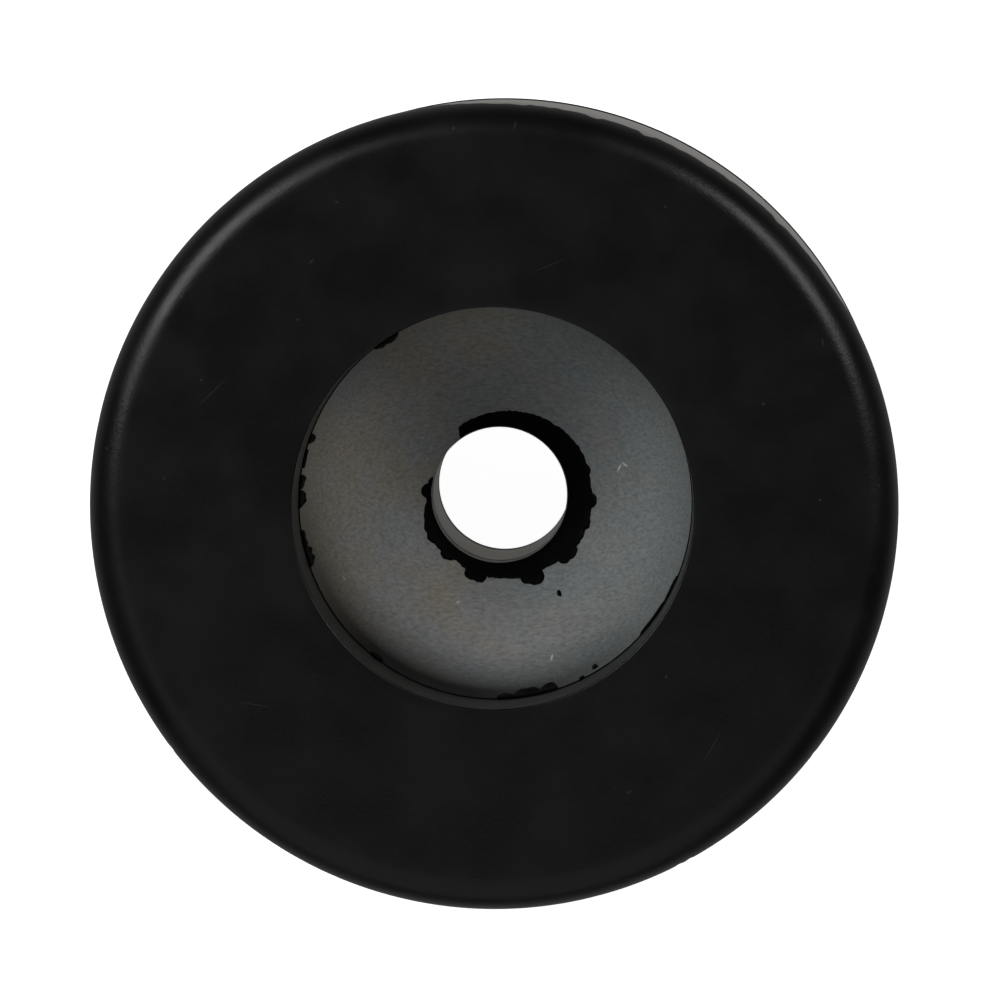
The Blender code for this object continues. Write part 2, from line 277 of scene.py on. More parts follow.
# ---- finishes --------
@dataclass(frozen=True)
class Finish:
    """A material: clouds of two colours, a change of gloss with them, and a fine raised grain.

    Sizes are in millimetres on the object, and colours are sRGB hex.
    """

    name: str
    low: str
    high: str
    gloss: tuple[float, float]
    cloud: float = 5.0
    grain: float = 0.3
    depth: float = 0.004
    metallic: float = 0.0
    specular: float = 0.5

    def make(self) -> Material:
        """Build the material.

        Returns:
            The finished material.
        """
        made = bpy.data.materials.new(self.name)
        made.use_nodes = True
        tree = made.node_tree
        shader = tree.nodes["Principled BSDF"]
        shader.inputs["Metallic"].default_value = self.metallic
        shader.inputs["Specular IOR Level"].default_value = self.specular
        place = add(tree, "TexCoord")
        scaled = add(tree, "Mapping", {"Vector": place.outputs["Object"], "Scale": (1000.0,) * 3})
        colour, rough, normal = self.fill(tree, scaled.outputs["Vector"])
        tree.links.new(colour, shader.inputs["Base Color"])
        tree.links.new(rough, shader.inputs["Roughness"])
        tree.links.new(normal, shader.inputs["Normal"])
        return made

    def fill(self, tree: Tree, mm: Socket) -> Look:
        """Add the patterns.

        Args:
            tree: the material's node tree.
            mm: object coordinates in millimetres.

        Returns:
            Sockets with the colour, the roughness and the normal.
        """
        clouds = add(tree, "TexNoise", {"Vector": mm, "Scale": 1 / self.cloud, "Detail": 5.0})
        colour = add(tree, "ValToRGB", {"Fac": clouds}, stops=[(0.36, self.low), (0.64, self.high)])
        rough = add(tree, "MapRange", {
            "Value": clouds, "From Min": 0.36, "From Max": 0.64, "To Min": self.gloss[0],
            "To Max": self.gloss[1]})
        grains = add(tree, "TexNoise", {"Vector": mm, "Scale": 1 / self.grain, "Detail": 3.0})
        raised = add(tree, "Bump", {"Height": grains, "Distance": self.depth * MM})
        return colour.outputs["Color"], rough.outputs["Result"], raised.outputs["Normal"]

    @staticmethod
    def marks(tree: Tree, mm: Socket, places: Sequence[Mark]) -> Socket:
        """Draw short straight marks, seen from above.

        Each mark is a thin ellipse: coordinates are moved and turned to it and divided by its half
        sizes, and the mark is where their length is under one.

        Args:
            tree: the material's node tree.
            mm: object coordinates in millimetres.
            places: x, y, direction in degrees, half length and half width of each mark.

        Returns:
            A value of one on the marks and zero away from them.
        """
        total: Any = 0.0
        for x, y, turn, long, wide in places:
            near = add(tree, "Mapping", {
                "Vector": mm, "Location": (x, y, 0.0), "Rotation": (0.0, 0.0, radians(turn)),
                "Scale": (long, wide, 1000.0)}, vector_type="TEXTURE")
            away = add(tree, "VectorMath", {0: near}, operation="LENGTH")
            mark = add(tree, "MapRange", {"Value": away.outputs["Value"], "From Min": 1.0, "From Max": 0.3})
            both = add(tree, "Math", {0: mark, 1: total}, operation="MAXIMUM")
            total = both.outputs[0]
        return total


@dataclass(frozen=True)
class SprayedCoat(Finish):
    """Sprayed matt black lacquer, baked: near black, with a fine orange peel that breaks up its
    highlights, dust and thin lint scratches from use."""

    scratches: tuple[Mark, ...] = (
        (-24.2, 10, 45, 2.2, 0.05), (4.9, 21, 22, 1.9, 0.04), (1.9, 33, 80, 0.5, 0.09),
        (-15.6, 21.3, 40, 0.35, 0.1), (28.4, 14.4, 100, 0.4, 0.1), (11.8, -24.5, 15, 0.3, 0.1),
        (-20.5, -17, 350, 1.6, 0.04), (19, -20.5, 60, 1.8, 0.04))
    scratch: str = "#3b3b3a"

    def fill(self, tree: Tree, mm: Socket) -> Look:
        """Clouds of dust, specks in one cell of ten, scratches, and two sizes of orange peel.
        Real peel is finer than this grain, which is drawn as coarse as it needs to show."""
        colour, rough, peel = super().fill(tree, mm)
        cells = add(tree, "TexVoronoi", {"Vector": mm, "Scale": 0.6})
        near = add(tree, "MapRange", {"Value": cells.outputs["Distance"], "From Min": 0.09, "From Max": 0.04})
        chance = add(tree, "SeparateColor", {0: cells.outputs["Color"]})
        chosen = add(tree, "Math", {0: chance, 1: 0.9}, operation="GREATER_THAN")
        specks = add(tree, "Math", {0: near, 1: chosen}, operation="MULTIPLY")
        lines = self.marks(tree, mm, self.scratches)
        both = add(tree, "Math", {0: specks, 1: lines}, operation="MAXIMUM")
        mixed = add(tree, "Mix", {0: both, 6: colour, 7: linear(self.scratch)}, data_type="RGBA")
        coarse = add(tree, "TexNoise", {"Vector": mm, "Scale": 1.1, "Detail": 1.0})
        waves = add(tree, "Bump", {"Height": coarse, "Distance": 0.01 * MM, "Normal": peel})
        return mixed.outputs[2], rough, waves.outputs["Normal"]


@dataclass(frozen=True)
class PlatedSheet(Finish):
    """Zinc-plated, passivated sheet steel: satin grey, a fine crystalline sparkle, straw and blue tints,
    and drawing marks down the steep wall."""

    straw: str = "#b5b0a2"
    blue: str = "#acb3b3"
    # painted glints: short pure white marks in the base colour stand in for small highlights
    painted_glints: tuple[Mark, ...] = (
        (10.7, 2.6, 62, 0.5, 0.13), (11.2, 2.9, 140, 0.4, 0.12), (4.8, -14, 75, 0.4, 0.13),
        (-3.6, -9.4, 20, 0.25, 0.06), (-13.5, -7, 300, 0.35, 0.06))
    painted_glint_colour: str = "#ffffff"
    # painted shade: a dark colour mixed into the steep wall towards one side
    painted_wall_shade: str = "#2e2d2c"
    painted_shade_place: float = radians(247.0)
    rim: float = 17.0

    def fill(self, tree: Tree, mm: Socket) -> Look:
        """Tints across the cup and a rolled grain of 0.3 by 0.6 mm, coarser than a real one so that it shows;
        on the steep wall, streaks a degree wide and painted shade that darkens the wall towards one side."""
        _, satin, grain = super().fill(tree, mm)
        apart = add(tree, "SeparateXYZ", {0: mm})
        patches = add(tree, "TexNoise", {"Vector": mm, "Scale": 0.16, "Detail": 6.0, "Roughness": 0.65})
        across = add(tree, "Math", {0: apart, 1: 0.012, 2: patches}, operation="MULTIPLY_ADD")
        tint = add(tree, "ValToRGB", {"Fac": across},
                   stops=[(0.30, self.straw), (0.46, self.low), (0.64, self.blue)])
        around = add(tree, "Math", {0: apart.outputs[1], 1: apart}, operation="ARCTAN2")
        line = add(tree, "CombineXYZ", {0: around})
        streaks = add(tree, "TexNoise", {"Vector": line, "Scale": 70.0, "Detail": 3.0})
        wall = add(tree, "MapRange", {
            "Value": apart.outputs[2], "From Min": 23.5, "From Max": 27.0, "To Min": 0.0, "To Max": 0.5})
        drawn = add(tree, "Mix", {0: wall, 2: 0.5, 3: streaks}, data_type="FLOAT")
        rolled = add(tree, "Mapping", {"Vector": mm, "Scale": (1.6, 3.4, 3.4)})
        sparkle = add(tree, "TexNoise", {"Vector": rolled, "Scale": 1.0, "Detail": 3.0, "Roughness": 0.7})
        sum_ = add(tree, "Math", {0: sparkle, 1: drawn}, operation="ADD")
        shade = add(tree, "MapRange", {
            "Value": sum_, "From Min": 0.75, "From Max": 1.25, "To Min": 0.64, "To Max": 1.22})
        grey = add(tree, "CombineColor", {0: shade, 1: shade, 2: shade})
        toned = add(tree, "Mix", {0: 1.0, 6: tint.outputs["Color"], 7: grey},
                    data_type="RGBA", blend_type="MULTIPLY")
        # painted highlight: mix the white glint marks into the colour
        lines = self.marks(tree, mm, self.painted_glints)
        with_painted_glints = add(tree, "Mix", {0: lines, 6: toned.outputs[2], 7: linear(self.painted_glint_colour)}, data_type="RGBA")
        # painted shade: darken the steep wall on the side facing the given place
        side = add(tree, "VectorMath", {
            0: mm, 1: (cos(self.painted_shade_place) / self.rim, sin(self.painted_shade_place) / self.rim, 0.0)},
            operation="DOT_PRODUCT")
        nearby = add(tree, "MapRange", {"Value": side.outputs["Value"], "From Min": 0.25, "From Max": 0.95})
        steep = add(tree, "MapRange", {"Value": apart.outputs[2], "From Min": 23.0, "From Max": 27.2})
        painted_shade_mask = add(tree, "Math", {0: nearby, 1: steep}, operation="MULTIPLY")
        mixed = add(tree, "Mix", {0: painted_shade_mask, 6: with_painted_glints.outputs[2], 7: linear(self.painted_wall_shade)}, data_type="RGBA")
        pulled = add(tree, "Bump", {"Height": drawn, "Distance": 0.02 * MM, "Normal": grain})
        return mixed.outputs[2], satin, pulled.outputs["Normal"]


@dataclass(frozen=True)
class TurnedMetal(Finish):
    """Metal turned on a lathe: fine rings left by the tool, a satin sheen and faint stains."""

    feed: float = 0.3

    def fill(self, tree: Tree, mm: Socket) -> Look:
        """Rings a feed apart follow the height plus the distance from the axis, over the clouds.
        The real feed is about 0.1 mm, too fine to show, so it is drawn three times as coarse."""
        colour, _, _ = super().fill(tree, mm)
        apart = add(tree, "SeparateXYZ", {0: mm})
        flat = add(tree, "CombineXYZ", {0: apart, 1: apart.outputs[1]})
        radius = add(tree, "VectorMath", {0: flat}, operation="LENGTH")
        along = add(tree, "Math", {0: radius.outputs["Value"], 1: apart.outputs[2]}, operation="ADD")
        line = add(tree, "CombineXYZ", {2: along})
        rings = add(tree, "TexNoise", {"Vector": line, "Scale": 1 / self.feed, "Detail": 2.0})
        rough = add(tree, "MapRange", {
            "Value": rings, "From Min": 0.3, "From Max": 0.7, "To Min": self.gloss[0],
            "To Max": self.gloss[1]})
        raised = add(tree, "Bump", {"Height": rings, "Distance": self.depth * MM})
        return colour, rough.outputs["Result"], raised.outputs["Normal"]


@dataclass(frozen=True)
class CellFoam(Finish):
    """Closed-cell foam: soft dark grey, with the burst cells of a cut face."""

    cell: float = 0.5

    def fill(self, tree: Tree, mm: Socket) -> Look:
        """Cells come from the distance to scattered points a cell apart."""
        _, rough, _ = super().fill(tree, mm)
        cells = add(tree, "TexVoronoi", {"Vector": mm, "Scale": 1 / self.cell})
        colour = add(tree, "ValToRGB", {"Fac": cells.outputs["Distance"]},
                     stops=[(0.2, self.low), (0.7, self.high)])
        raised = add(tree, "Bump", {"Height": cells.outputs["Distance"], "Distance": self.depth * MM})
        return colour.outputs["Color"], rough, raised.outputs["Normal"]


class Paint(Enum):
    """The finishes that the pieces take, one for each real material."""

    # Lacquer: near black, soft highlights with a fine pebble in them.
    COAT = SprayedCoat("matt_black_baked_lacquer", "#09090a", "#101010", (0.32, 0.39), 6.0, 0.28, 0.016)
    # Dull passivated zinc: even grey with a fine sparkle, straw to blue, that scatters more than it mirrors.
    CUP = PlatedSheet("zinc_plated_drawn_steel", "#b3b3b2", "#b3b3b2", (0.62, 0.72), 1.5, 0.25, 0.012, 0.3)
    # Turned aluminium: bright satin, drawn out into a streak along its rings.
    SHELL = TurnedMetal("bare_turned_aluminium", "#dad7d1", "#e3e1dc", (0.36, 0.54), 9.0,
                        depth=0.008, metallic=1.0)
    # Turned steel: the same satin, darker and warmer.
    SLEEVE = TurnedMetal("bare_turned_steel", "#6a6552", "#7a766b", (0.34, 0.46), 3.0, metallic=1.0)
    # Ground mild steel: grey, with close tool rings.
    IRON = TurnedMetal("ground_mild_steel", "#7c7a75", "#8f8e8b", (0.34, 0.46), 6.0, metallic=1.0)
    # Cast epoxy, dusty: the deepest black of all, with rounded lumps and almost no shine.
    RESIN = Finish("black_cast_epoxy", "#030303", "#070707", (0.52, 0.70), 0.9, 0.7, 0.03, specular=0.08)
    # Moulded nylon: soft black with the fine texture of its mould.
    NYLON = Finish("moulded_black_nylon", "#111112", "#1c1c1b", (0.55, 0.68), 6.0, 0.35, 0.02)
    # Nitrile rubber: chalky black, with no highlight.
    RUBBER = Finish("black_nitrile_rubber", "#0f0f0f", "#222220", (0.78, 0.92), 6.0, 0.2, 0.015)
    # Black oxide on steel: blue-black, with a metal's small sharp glints.
    OXIDE = Finish("black_oxide_steel", "#131314", "#1e1e20", (0.32, 0.44), 1.5, 0.3, 0.004, 1.0)
    # Nickel plate: warm, bright and the smoothest of the metals.
    NICKEL = Finish("nickel_plated_magnet", "#b1ada3", "#c9c4b8", (0.20, 0.32), 5.0, 0.3, 0.004, 1.0)
    # Foam: soft dark grey, pitted with cells.
    FOAM = CellFoam("closed_cell_foam", "#38383a", "#4c4c4e", (0.88, 0.95), 4.0, 0.5, 0.08)


class Wardrobe:
    """Makes each material once, when a piece first asks for it."""

    def __init__(self) -> None:
        """Start with no material made."""
        self.made: dict[Paint, Material] = {}

    def get(self, paint: Paint) -> Material:
        """Return a paint's material, making it the first time."""
        if paint not in self.made:
            self.made[paint] = paint.value.make()
        return self.made[paint]


# ---- sub-assemblies --------
@dataclass(frozen=True)
class Levels:
    """Heights and radii read from the frame, in metres."""

    shell_radius: float
    shell_low: float
    top: float
    cup_radius: float
    rim: float
    sleeve_radius: float
    sleeve_low: float
    sleeve_top: float
    base_low: float
    base_top: float
    pad_radius: float
    pad_top: float

    @classmethod
    def read(cls) -> "Levels":
        """Read each node's box: its lowest corner, then its highest."""
        shell, cup, sleeve, cap, pad = (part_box(node) for node in (
            "body_shell", "bowl_cup", "bore_sleeve", "base_cap", "anti_slip_pad"))
        return cls(shell[1][0], shell[0][2], shell[1][2], cup[1][0], cup[1][2],
                   sleeve[1][0], sleeve[0][2], sleeve[1][2], cap[0][2], cap[1][2], pad[1][0], pad[1][2])


@dataclass
class Housing:
    """The bare metal shell, and the black coat on its collar, top face and rounded edge."""

    levels: Levels
    edge_fillet: float = 3.0 * MM
    lip_fillet: float = 0.12 * MM
    side_wall: float = 2.0 * MM
    top_wall: float = 2.4 * MM
    opening: float = 17.4 * MM
    collar_wall: float = 1.4 * MM
    draft: float = 0.17 * MM
    rim_gap: float = 0.3 * MM
    break_edge: float = 0.25 * MM
    coat: float = 0.04 * MM
    coat_root: float = 0.03 * MM
    feather: float = 0.12 * MM
    coat_drop: float = 3.5 * MM
    worn_drop: float = 2.1 * MM
    worn_place: float = 63.0
    worn_half: float = 34.0
    nicks: tuple[tuple[float, float, float], ...] = (
        (67.5, 1.1, 0.35), (75.5, 1, 0.3), (45, 1.3, 0.15), (217, 0.7, 1.2), (284, 1.6, 0.8),
        (291, 1.2, 0.8), (297.3, 0.7, 1.3), (299.2, 0.6, 1.2), (311, 0.8, 0.9), (322.5, 0.6, 0.9),
        (131, 1, 0.8), (168, 1.6, 0.8), (244, 1, 0.9))
    steps: int = 360
    coat_steps: int = 1440

    def build(self, wardrobe: Wardrobe) -> None:
        """Make the shell and its coat."""
        piece(self.shell(), wardrobe.get(Paint.SHELL), "turned_aluminium", "body_shell")
        piece(self.black_coat(), wardrobe.get(Paint.COAT), "black_coat")

    def shell(self) -> Item:
        """Turn the shell's whole section: side, rounded edge, top wall and collar.

        Returns:
            The shell.
        """
        at = self.levels
        inside = at.shell_radius - self.side_wall
        collar_low = at.rim + self.rim_gap
        outer_collar = self.opening + self.collar_wall
        ceiling = at.top - self.top_wall
        corners = np.array([
            (inside, at.shell_low), (at.shell_radius, at.shell_low), (at.shell_radius, at.top),
            (self.opening, at.top), (self.opening - self.draft, collar_low), (outer_collar, collar_low),
            (outer_collar, ceiling), (inside, ceiling)])
        small = self.break_edge
        radii = [small, small, self.edge_fillet, self.lip_fillet, small, small, small, small]
        outline = refined(rounded(corners, radii, 10), 1.2 * MM)
        return surface("shell_bare_metal", revolved(outline, self.steps), True, True)

    def coat_edge(self, angle: Array) -> Array:
        """How far below the top face the coat ends, at each angle.

        A steady drop, less over a worn arc with a smooth step at each of its ends, plus coarse and
        fine random wander, less a bell-shaped nick at each listed place.

        Args:
            angle: angles in radians.

        Returns:
            The drop in metres.
        """
        worn = 1.0 / (1.0 + np.exp((np.abs(turned_from(angle, self.worn_place)) - self.worn_half) / 1.3))
        drop = self.coat_drop + (self.worn_drop - self.coat_drop) * worn
        drop += wander(angle, 3, range(7, 40)) * (0.22 - 0.13 * worn) * MM
        drop += wander(angle, 4, range(60, 220, 3)) * 0.09 * MM
        for place, half, depth in self.nicks:
            drop -= depth * MM * np.exp(-(turned_from(angle, place) / half) ** 4)
        return np.maximum(drop, 0.9 * MM)

    def black_coat(self) -> Item:
        """Lay the coat as a thin skin over the collar, the top face and the rounded edge.

        The skin follows the metal's profile by its length. Its outer side stands proud by the
        coat's thickness, which falls to nothing at the ragged edge as a square root, and its inner
        side is sunk in the metal, so the skin is closed.

        Returns:
            The coat.
        """
        at = self.levels
        angle = circle(self.coat_steps)[:, None]
        lip, edge = self.lip_fillet, self.edge_fillet
        collar = np.linspace(at.rim + self.rim_gap + 0.1 * MM, at.top - lip, 9)[:-1]
        bend = np.linspace(0.0, pi / 2, 7)[:-1]
        flat = np.linspace(self.opening + lip, at.shell_radius - edge, 16)[:-1]
        fixed = np.concatenate([
            np.stack([np.linspace(self.opening - self.draft, self.opening, 8), collar,
                      np.full(8, -1.0), np.zeros(8)], 1),
            np.stack([self.opening + lip - lip * np.cos(bend), at.top - lip + lip * np.sin(bend),
                      -np.cos(bend), np.sin(bend)], 1),
            np.stack([flat, np.full(15, at.top), np.zeros(15), np.ones(15)], 1)])
        drop = self.coat_edge(angle[:, 0])[:, None]
        quarter = edge * pi / 2
        length = np.where(drop < edge, np.arccos(np.clip(1.0 - drop / edge, 0.0, 1.0)) * edge,
                          quarter + drop - edge)
        along = length * (1.0 - (1.0 - np.linspace(0.0, 1.0, 26)) ** 1.6)
        tilt = np.minimum(along / edge, pi / 2)
        below = np.maximum(along - quarter, 0.0)
        ragged = np.stack([at.shell_radius - edge + edge * np.sin(tilt),
                           at.top - edge + edge * np.cos(tilt) - below, np.sin(tilt), np.cos(tilt)], 2)
        rows = np.concatenate([np.broadcast_to(fixed, (len(angle),) + fixed.shape), ragged], 1)
        left = np.concatenate([np.ones((len(angle), len(fixed))), (length - along) / self.feather], 1)
        lift = self.coat * np.sqrt(np.clip(left, 0.0, 1.0))
        lift[:, 0] = 0.0
        outer = rows[..., :2] + rows[..., 2:] * lift[..., None]
        inner = rows[..., :2] - rows[..., 2:] * self.coat_root
        keep = np.r_[0:len(fixed):4, len(fixed) + 6, len(fixed) + 14, rows.shape[1] - 1]
        grid = revolved(np.concatenate([outer, inner[:, keep][:, ::-1]], 1), self.coat_steps)
        return surface("black_coat_skin", grid, True, True)


@dataclass
class Bowl:
    """The drawn cup, the sleeve under it and the resin squeezed out round both."""

    levels: Levels
    rim_radius: float = 17.1 * MM
    corner: float = 7.6 * MM
    slope: float = radians(36.0)
    bore: float = 6.0 * MM
    rim_gap: float = 0.3 * MM
    ring_angles: int = 1440
    film: float = 0.15 * MM
    bore_ring: tuple[tuple[float, float], ...] = (
        (0, 2.75), (8, 2.65), (30, 2.8), (60, 2.3), (90, 1.7), (121, 1.2), (125.5, 0), (164, 0),
        (169, 0.45), (184, 0.55), (193, 0.95), (204, 1.5), (222, 1.42), (237, 1.12), (246, 1.5),
        (262, 1.6), (275, 1.7), (285, 1.95), (300, 2), (310, 2.15), (330, 2.75))
    drops: tuple[tuple[float, float, float], ...] = (
        (177, 0.45, 0.62), (212, 0.95, 0.75), (229, 1, 0.75), (251, 1.6, 0.7), (256, 1.65, 0.7),
        (290, 2.05, 0.75), (294.5, 2.4, 0.75), (317.5, 2.3, 0.75), (321.5, 2.45, 0.75), (342, 2.4, 0.62),
        (357, 2.55, 0.7), (17, 2.35, 0.6))
    rim_lumps: tuple[tuple[float, float, float], ...] = (
        (124, 4.2, 2.5), (160.9, 1.5, 2.2), (167, 3, 0.9), (174, 2.2, 2.1), (179, 2.6, 2.4),
        (191, 2.8, 1.6), (196.2, 3.3, 2.5), (232.4, 2.2, 1.5), (273, 2.6, 1.8), (279.5, 4.4, 2.7),
        (285.8, 2.9, 2.6), (296.3, 0.9, 0.8), (324, 6.5, 0.55), (334, 4.5, 0.45))
    spots: tuple[tuple[float, float, float, float], ...] = (
        (302.1, 11.9, 0.40, 0.75), (300.9, 1.7, 0.60, 1.3))

    def build(self, wardrobe: Wardrobe) -> None:
        """Make the cup, the sleeve and the resin."""
        piece(self.cup(), wardrobe.get(Paint.CUP), "plated_steel", "bowl_cup")
        piece(self.sleeve(), wardrobe.get(Paint.SLEEVE), "bare_steel", "bore_sleeve")
        resin = wardrobe.get(Paint.RESIN)
        piece(self.rim_bead_and_gap_shade(), resin, "black_epoxy")
        piece(self.film_ring("rim_resin_runs", self.rim_width, self.rim_start, 1.0), resin, "black_epoxy")
        piece(self.film_ring("bore_resin_ring", self.bore_width, self.bore_start, -1.0), resin, "black_epoxy")
        for index, spot in enumerate(self.spots):
            piece(self.spot(index, *spot), resin, "black_epoxy")

    @property
    def arc_length(self) -> float:
        """Length of the curved corner, from the rim to the cone."""
        return self.corner * (pi / 2 - self.slope)

    @property
    def length(self) -> float:
        """Distance along the inner face from the rim to the bore's edge."""
        foot = self.rim_radius - self.corner + self.corner * sin(self.slope)
        return self.arc_length + (foot - self.bore) / cos(self.slope)

    def section(self, along: Array, lift: Array | float) -> Array:
        """Find (r, z) on the cup's inner face.

        A distance from the rim runs round the corner's arc, then down the cone. The lift is
        measured along the face's normal, into the bowl.

        Args:
            along: distance from the rim along the face.
            lift: height over the face.

        Returns:
            Points, with (r, z) in the last axis.
        """
        turned = np.minimum(along / self.corner, pi / 2 - self.slope)
        past = np.maximum(along - self.arc_length, 0.0)
        reach = self.corner - lift
        r = self.rim_radius - self.corner + reach * np.cos(turned) - past * cos(self.slope)
        z = self.levels.rim - reach * np.sin(turned) - past * sin(self.slope)
        return np.stack([r, z], -1)

    def on_bowl(self, angle: Array, along: Array, lift: Array | float) -> Array:
        """Place the section's points round the axis, at their own angles."""
        flat = self.section(along, lift)
        r, z = flat[..., 0], flat[..., 1]
        return np.stack([r * np.cos(angle), r * np.sin(angle), z], -1)

    def cup(self) -> Item:
        """Turn the cup's section: the inner face, the outer one a sheet away, and broken edges.

        Returns:
            The cup.
        """
        sheet = self.levels.cup_radius - self.rim_radius
        curve = np.linspace(0.0, self.arc_length, 25)
        below = (self.bore, self.section(np.array(self.length), 0.0)[1] - sheet / cos(self.slope))
        corners = np.concatenate([self.section(np.append(curve, self.length), 0.0), [below],
                                  self.section(curve, -sheet)[::-1]])
        radii = np.zeros(len(corners))
        radii[[0, 25, 26, -1]] = 0.06 * MM, 0.25 * MM, 0.1 * MM, 0.2 * MM
        outline = refined(rounded(corners, radii, 5), 0.8 * MM)
        return surface("bowl_cup_sheet", revolved(outline, 384), True, True)

    def sleeve(self) -> Item:
        """Turn the sleeve, with its ends' edges broken."""
        at = self.levels
        corners = np.array([(self.bore, at.sleeve_low), (at.sleeve_radius, at.sleeve_low),
                            (at.sleeve_radius, at.sleeve_top), (self.bore, at.sleeve_top)])
        outline = refined(rounded(corners, [0.15 * MM] * 4, 3), 1.0 * MM)
        return surface("bore_sleeve_tube", revolved(outline, 192), True, True)

    def rim_bead_and_gap_shade(self) -> Item:
        """Turn the bead of black resin that fills the joint between the cup's rim and the collar; its black
        also stands in for the shade in the gap there, as painted shade.
        """
        low, high = self.levels.rim - 0.05 * MM, self.levels.rim + self.rim_gap + 0.05 * MM
        near, far = self.rim_radius + 0.02 * MM, self.rim_radius + 0.9 * MM
        corners = np.array([(near, low), (far, low), (far, high), (near, high)])
        outline = rounded(corners, [0.04 * MM, 0.04 * MM, 0.04 * MM, 0.18 * MM], 4)
        return surface("rim_resin_bead_gap_shade", revolved(outline, 384), True, True)

    def rim_width(self, angle: Array) -> Array:
        """How far resin has run down from the rim, at each angle.

        Each run is a bell with a flat top, and a fine random wander scallops its edge.

        Args:
            angle: angles in radians.

        Returns:
            The distance in metres, zero where the metal is bare.
        """
        width = np.zeros(angle.shape)
        for place, half, depth in self.rim_lumps:
            bell = np.clip(1.0 - np.abs(turned_from(angle, place) / half) ** 3, 0.0, 1.0)
            width = np.maximum(width, depth * np.sqrt(bell))
        ripple = 1.0 + 0.16 * wander(angle, 12, range(40, 150, 2))
        return width * ripple * MM

    def rim_start(self, angle: Array) -> Array:
        """Return where the runs begin: at the rim, or above it on the collar where they are wide."""
        return -0.1 * MM - np.clip(self.rim_width(angle) - 0.4 * MM, 0.0, 0.3 * MM)

    def bore_start(self, angle: Array) -> Array:
        """Return where the ring begins: just above the bore's edge."""
        return self.length - 0.1 * MM + 0 * angle

    def bore_width(self, angle: Array) -> Array:
        """How far the resin reaches up the cone from the bore, at each angle.

        A ring whose width is interpolated between listed angles, then round drops on it: a drop's
        reach is its middle's distance plus the half chord at that angle. A fine random wander
        roughens the edge where there is resin.

        Args:
            angle: angles in radians.

        Returns:
            The width in metres, zero where the metal is bare.
        """
        places, widths = np.array(self.bore_ring).T
        width = np.interp(np.degrees(angle), places, widths, period=360.0)
        covered = np.clip(width / 0.3, 0.0, 1.0)
        for place, middle, radius in self.drops:
            gap = (self.bore / MM + middle * cos(self.slope)) * np.radians(turned_from(angle, place))
            chord = np.sqrt(np.clip(radius ** 2 - gap ** 2, 0.0, None))
            width = np.maximum(width, np.where(chord > 0.0, middle + chord, 0.0))
        return (width + covered * 0.06 * wander(angle, 11, range(16, 110, 2))) * MM

    def film_ring(self, name: str, reach: Spread, begin: Spread, sense: float) -> Item:
        """Lay a film of resin on the cup's face, all the way round.

        It runs from one distance along the face by a width that changes with the angle. In section
        its top is a low flat dome, and where the width is nothing it is sunk in the sheet.

        Args:
            name: the object's name.
            reach: function from angles to widths, in metres.
            begin: function from angles to the distance of the film's fixed side from the rim.
            sense: one to run down the face, minus one to run up it.

        Returns:
            The film.
        """
        angle = circle(self.ring_angles)[:, None]
        start = begin(angle)
        width = np.maximum(reach(angle), 0.02 * MM) + np.maximum(-start - 0.1 * MM, 0.0)
        over = np.linspace(0.0, 1.0, 16)[None, :]
        dome = np.sqrt(1.0 - (2.0 * over - 1.0) ** 4)
        thick = np.minimum(self.film, width * 0.3)
        sunk = 0.12 * MM * (1.0 - np.clip((width / MM - 0.05) / 0.12, 0.0, 1.0))
        top = self.on_bowl(angle, start + sense * over * width, thick * dome - sunk)
        under = np.linspace(1.0, 0.0, 5)[None, 1:-1]
        behind = start + sense * under * width
        root = np.where(behind < 0.0, 0.45 * MM, 0.08 * MM)
        base = self.on_bowl(angle, behind, -root - sunk)
        return surface(name, np.concatenate([top, base], 1), True, True)

    def spot(self, index: int, place: float, along: float, wide: float, tall: float) -> Item:
        """Lay one loose spot of resin on the cup's face.

        Its outline is an ellipse on the unrolled face times one plus a random wander, and its
        height falls from the middle to nothing at the outline as a quarter circle.

        Args:
            index: its number, which seeds the outline.
            place: angle round the axis, in degrees.
            along: distance of the middle from the rim, in millimetres.
            wide: size round the bowl, in millimetres.
            tall: size up the face, in millimetres.

        Returns:
            The spot.
        """
        turn = circle(72)[:, None]
        share = np.linspace(0.0, 1.0, 9)[None, :]
        reach = share * (1.0 + 0.16 * wander(turn, 20 + index, range(2, 9)))
        middle = self.section(np.array(along * MM), 0.0)[0]
        angle = radians(place) + reach * np.cos(turn) * wide / 2 * MM / middle
        down = along * MM - reach * np.sin(turn) * tall / 2 * MM
        top = self.on_bowl(angle, down, 0.14 * MM * np.sqrt(1.0 - share ** 2) + 0 * down)
        base = self.on_bowl(angle, down, -0.08 * MM + 0 * down)
        return surface(f"resin_spot_{index + 1}", np.concatenate([top, base[:, ::-1]], 1), True, False)


